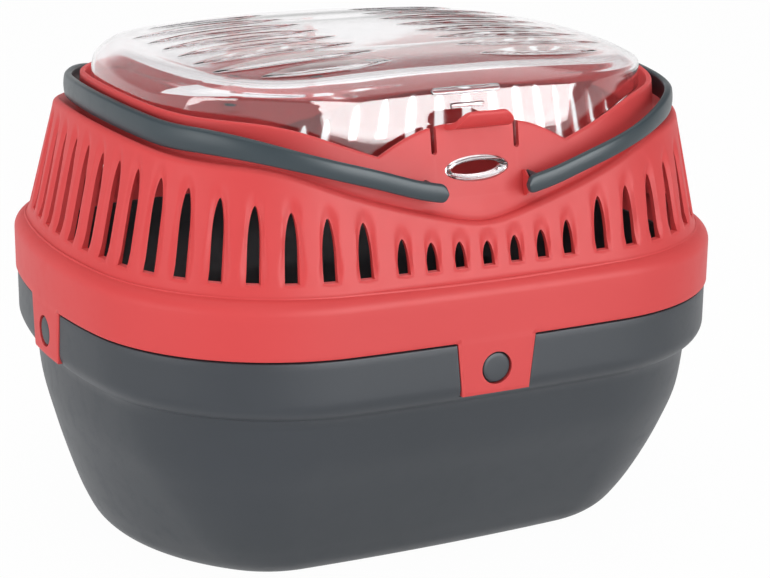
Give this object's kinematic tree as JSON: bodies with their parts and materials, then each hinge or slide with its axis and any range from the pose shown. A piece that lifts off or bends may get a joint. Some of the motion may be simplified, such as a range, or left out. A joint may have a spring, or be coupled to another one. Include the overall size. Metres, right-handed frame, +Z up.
{
  "type": "small animal carrier",
  "caption": "Oval plastic carrier for small pets: grey tub, slotted red cover that clips on, clear ribbed hinged lid, finger latch and two folding handles.",
  "frame": {"origin": "on the floor, under the middle of the box around the carrier", "axes": "+Z up, X along the length, front with the latch at -Y"},
  "size_m": [0.3, 0.2532, 0.2208],
  "materials": {
    "grey_plastic": "satin moulded, fine grain",
    "red_plastic": "satin moulded, fine grain",
    "dark_plastic": "satin moulded",
    "clear_plastic": "clear glossy"
  },
  "bodies": {
    "tub": {"base_tub": "grey_plastic"},
    "cover": {"top_cover": "red_plastic"},
    "lid": {"clear_lid": "clear_plastic"},
    "latch": {"latch_tongue": "red_plastic"},
    "handle_left": {"left_handle": "dark_plastic"},
    "handle_right": {"right_handle": "dark_plastic"},
    "tab_front": {"front_tab": "red_plastic"},
    "tab_right": {"right_tab": "red_plastic"},
    "tab_rear": {"rear_tab": "red_plastic"},
    "tab_left": {"left_tab": "red_plastic"}
  },
  "joints": [
    {"name": "cover_lift", "type": "slide", "parent": "tub", "child": "cover", "axis": [0, 0, 1], "range_m": [0, 0.12], "deforming": ["front_tab", "right_tab", "rear_tab", "left_tab"]},
    {"name": "lid_hinge", "type": "hinge", "parent": "cover", "child": "lid", "pos_m": [0, 0.0989, 0.2012], "axis": [-1, 0, 0], "range_deg": [0, 110], "deforming": ["latch_tongue"]},
    {"name": "latch_flex", "type": "hinge", "parent": "cover", "child": "latch", "pos_m": [0, -0.11, 0.163], "axis": [1, 0, 0], "range_deg": [0, 12], "stiffness_Nm_per_rad": 0.6},
    {"name": "left_handle_hinge", "type": "hinge", "parent": "cover", "child": "handle_left", "pos_m": [-0.0235, 0, 0.175], "axis": [0, -1, 0], "range_deg": [-83, 0]},
    {"name": "right_handle_hinge", "type": "hinge", "parent": "cover", "child": "handle_right", "pos_m": [0.0235, 0, 0.175], "axis": [0, 1, 0], "range_deg": [-83, 0]},
    {"name": "front_tab_flex", "type": "hinge", "parent": "cover", "child": "tab_front", "pos_m": [0, -0.1254, 0.112], "axis": [-1, 0, 0], "range_deg": [0, 15], "stiffness_Nm_per_rad": 0.5},
    {"name": "right_tab_flex", "type": "hinge", "parent": "cover", "child": "tab_right", "pos_m": [0.1488, 0, 0.112], "axis": [0, -1, 0], "range_deg": [0, 15], "stiffness_Nm_per_rad": 0.5},
    {"name": "rear_tab_flex", "type": "hinge", "parent": "cover", "child": "tab_rear", "pos_m": [0, 0.1254, 0.112], "axis": [1, 0, 0], "range_deg": [0, 15], "stiffness_Nm_per_rad": 0.5},
    {"name": "left_tab_flex", "type": "hinge", "parent": "cover", "child": "tab_left", "pos_m": [-0.1488, 0, 0.112], "axis": [0, 1, 0], "range_deg": [0, 15], "stiffness_Nm_per_rad": 0.5}
  ]
}
